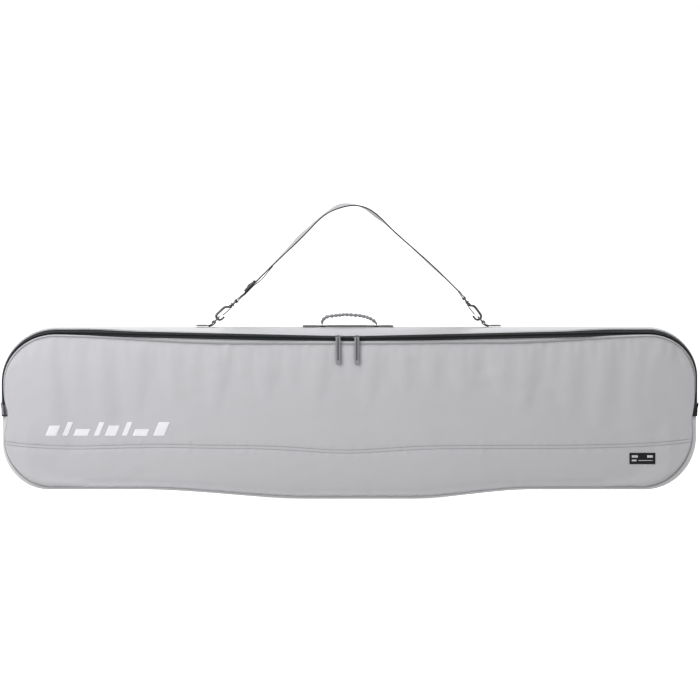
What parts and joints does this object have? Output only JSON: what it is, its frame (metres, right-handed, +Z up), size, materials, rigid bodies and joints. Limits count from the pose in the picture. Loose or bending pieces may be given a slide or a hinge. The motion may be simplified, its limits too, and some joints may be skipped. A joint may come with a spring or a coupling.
{
  "type": "snowboard bag",
  "caption": "Long padded snowboard bag with a fold-down zipped front, a shirred carry handle on its top edge and a shoulder strap on snap hooks.",
  "frame": {"origin": "on the floor below the middle of the bag, at the centre of its bounding box's bottom", "axes": "+X along the bag to the right as seen from the front, -Y towards the front panel with the zip, +Z up"},
  "size_m": [1.5982, 0.168, 0.6752],
  "materials": {
    "shell_fabric": "light grey woven polyester, matte, slight sheen",
    "lining_fabric": "grey lining over closed-cell foam",
    "zip_tape": "black knitted zip tape",
    "zip_coil": "black nylon coil",
    "webbing": "grey woven webbing",
    "heather": "dark heather grey shirred fabric",
    "metal": "black-nickel plated zinc, satin",
    "plastic": "black moulded acetal",
    "label": "black woven label"
  },
  "bodies": {
    "bag": {"back_panel": "shell_fabric", "back_padding": "lining_fabric", "front_lower_panel": "shell_fabric", "front_lower_padding": "lining_fabric", "upper_gusset": "shell_fabric", "upper_gusset_lining": "lining_fabric", "lower_gusset": "shell_fabric", "lower_gusset_lining": "lining_fabric", "piping_back": "shell_fabric", "piping_front_lower": "shell_fabric", "zipper_tape_gusset": "zip_tape", "zipper_coil_gusset": "zip_coil", "zip_end_tab_left": "webbing", "zip_end_tab_right": "webbing", "handle_base_webbing": "webbing", "strap_tab_left": "webbing", "strap_tab_right": "webbing", "d_ring_left": "metal", "d_ring_right": "metal", "label": "label"},
    "flap": {"front_flap": "shell_fabric", "front_flap_padding": "lining_fabric", "flap_edge_strip": "shell_fabric", "piping_front_flap": "shell_fabric", "zipper_tape_flap": "zip_tape", "zipper_coil_flap": "zip_coil"},
    "slider_left": {"zip_slider_left": "metal"},
    "slider_right": {"zip_slider_right": "metal"},
    "puller_left": {"puller_link_left": "metal", "puller_pull_left": "webbing"},
    "puller_right": {"puller_link_right": "metal", "puller_pull_right": "webbing"},
    "handle": {"handle_webbing": "webbing", "handle_sleeve": "heather"},
    "strap": {"strap_webbing": "webbing", "strap_loop_left": "webbing", "strap_loop_right": "webbing", "swivel_eye_left": "metal", "swivel_eye_right": "metal"},
    "hook_left": {"hook_left": "metal"},
    "hook_right": {"hook_right": "metal"},
    "gate_left": {"hook_gate_left": "metal"},
    "gate_right": {"hook_gate_right": "metal"},
    "triglide": {"triglide": "plastic"}
  },
  "joints": [
    {"name": "flap_fold", "type": "hinge", "parent": "bag", "child": "flap", "pos_m": [0, -0.0843, 0.19], "axis": [1, 0, 0], "range_deg": [0, 150]},
    {"name": "slider_left_slide", "type": "slide", "parent": "flap", "child": "slider_left", "axis": [-0.9997, 0, 0.0226], "range_m": [-0.012, 0.5]},
    {"name": "slider_right_slide", "type": "slide", "parent": "flap", "child": "slider_right", "axis": [0.9997, 0, 0.0226], "range_m": [-0.012, 0.5]},
    {"name": "puller_left_swing", "type": "hinge", "parent": "slider_left", "child": "puller_left", "pos_m": [-0.026, -0.05469, 0.37473], "axis": [-1, 0, 0], "range_deg": [0, 150]},
    {"name": "puller_right_swing", "type": "hinge", "parent": "slider_right", "child": "puller_right", "pos_m": [0.017, -0.05469, 0.37459], "axis": [-1, 0, 0], "range_deg": [0, 150]},
    {"name": "handle_swing", "type": "hinge", "parent": "bag", "child": "handle", "pos_m": [0, 0, 0.401], "axis": [1, 0, 0], "range_deg": [-50, 50], "stiffness_Nm_per_rad": 0.05},
    {"name": "strap_swing", "type": "hinge", "parent": "bag", "child": "strap", "pos_m": [0, 0, 0.4168], "axis": [1, 0, 0], "range_deg": [-40, 40]},
    {"name": "hook_left_swivel", "type": "hinge", "parent": "strap", "child": "hook_left", "pos_m": [-0.27047, 0, 0.44359], "axis": [0.7349, 0, 0.6782], "range_deg": [-10, 10]},
    {"name": "hook_right_swivel", "type": "hinge", "parent": "strap", "child": "hook_right", "pos_m": [0.27173, 0, 0.44835], "axis": [-0.6018, 0, 0.7986], "range_deg": [-10, 10]},
    {"name": "gate_left_open", "type": "hinge", "parent": "hook_left", "child": "gate_left", "pos_m": [-0.27455, 0, 0.43547], "axis": [0, 1, 0], "range_deg": [0, 16], "stiffness_Nm_per_rad": 0.02, "springref_deg": -11.46},
    {"name": "gate_right_open", "type": "hinge", "parent": "hook_right", "child": "gate_right", "pos_m": [0.27429, 0, 0.43963], "axis": [0, -1, 0], "range_deg": [0, 16], "stiffness_Nm_per_rad": 0.02, "springref_deg": -11.46},
    {"name": "triglide_slide", "type": "slide", "parent": "strap", "child": "triglide", "axis": [0.705, 0, 0.7093], "range_m": [0, 0.1]}
  ]
}
